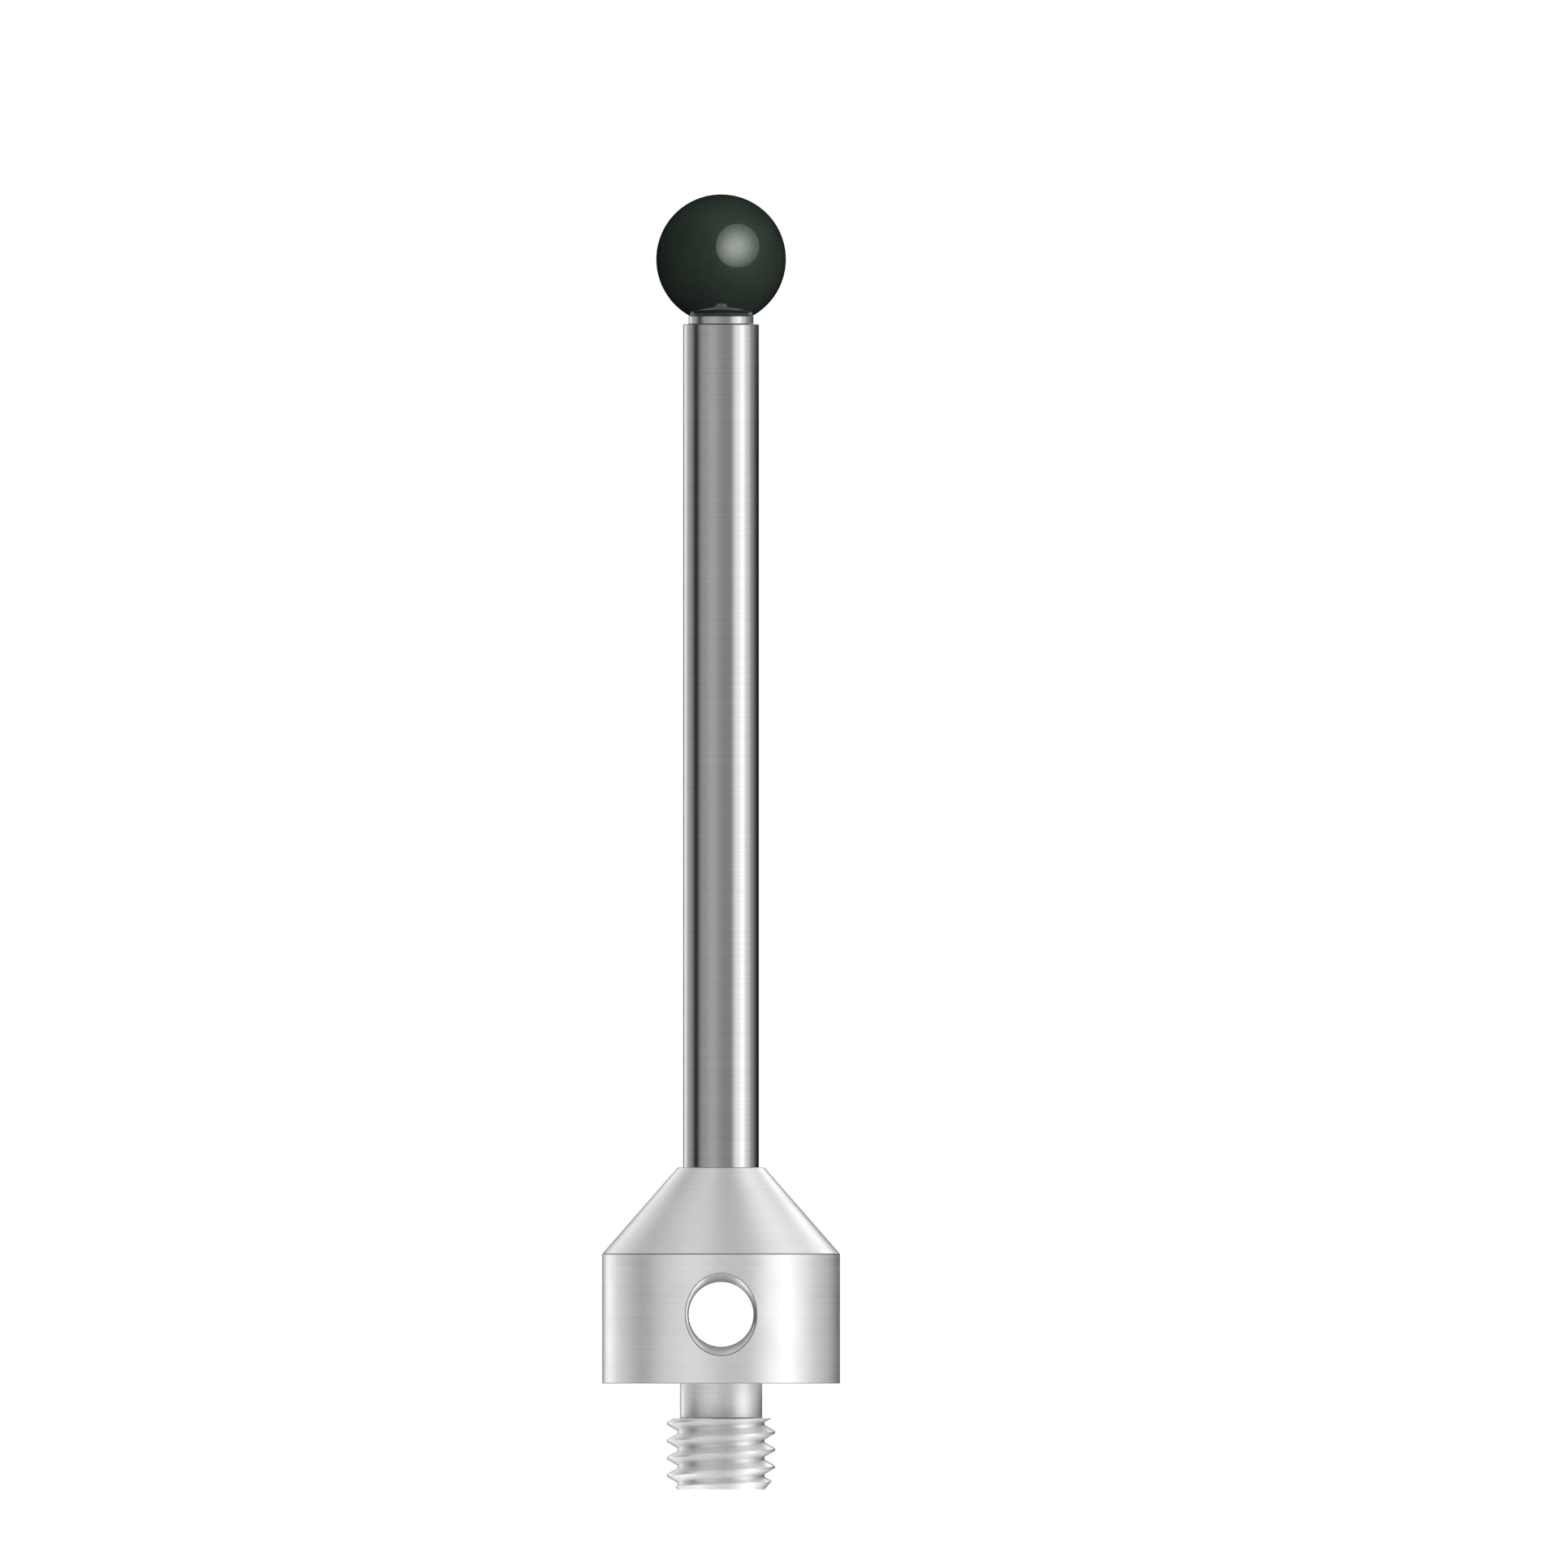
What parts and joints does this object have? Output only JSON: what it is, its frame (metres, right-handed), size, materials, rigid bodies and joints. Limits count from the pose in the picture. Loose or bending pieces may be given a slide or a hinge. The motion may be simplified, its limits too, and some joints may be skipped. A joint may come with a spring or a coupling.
{
  "type": "cmm stylus",
  "caption": "Ball stylus for a measuring machine: dark ceramic ball on a straight carbide stem, in a coned steel holder with a cross hole and a screw end.",
  "frame": {"origin": "where the stylus axis meets the seat face, the flat ring under the holder's barrel", "axes": "+Z along the stylus axis, from the screw towards the ball; +Y along the cross hole"},
  "size_m": [0.011, 0.011, 0.0599],
  "materials": {
    "ball": "polished silicon nitride, near black with a green cast",
    "stem": "tungsten carbide, ground round and polished",
    "holder": "stainless steel, finely turned"
  },
  "bodies": {
    "root": {"ball": "ball", "stem": "stem", "holder": "holder"}
  },
  "joints": []
}
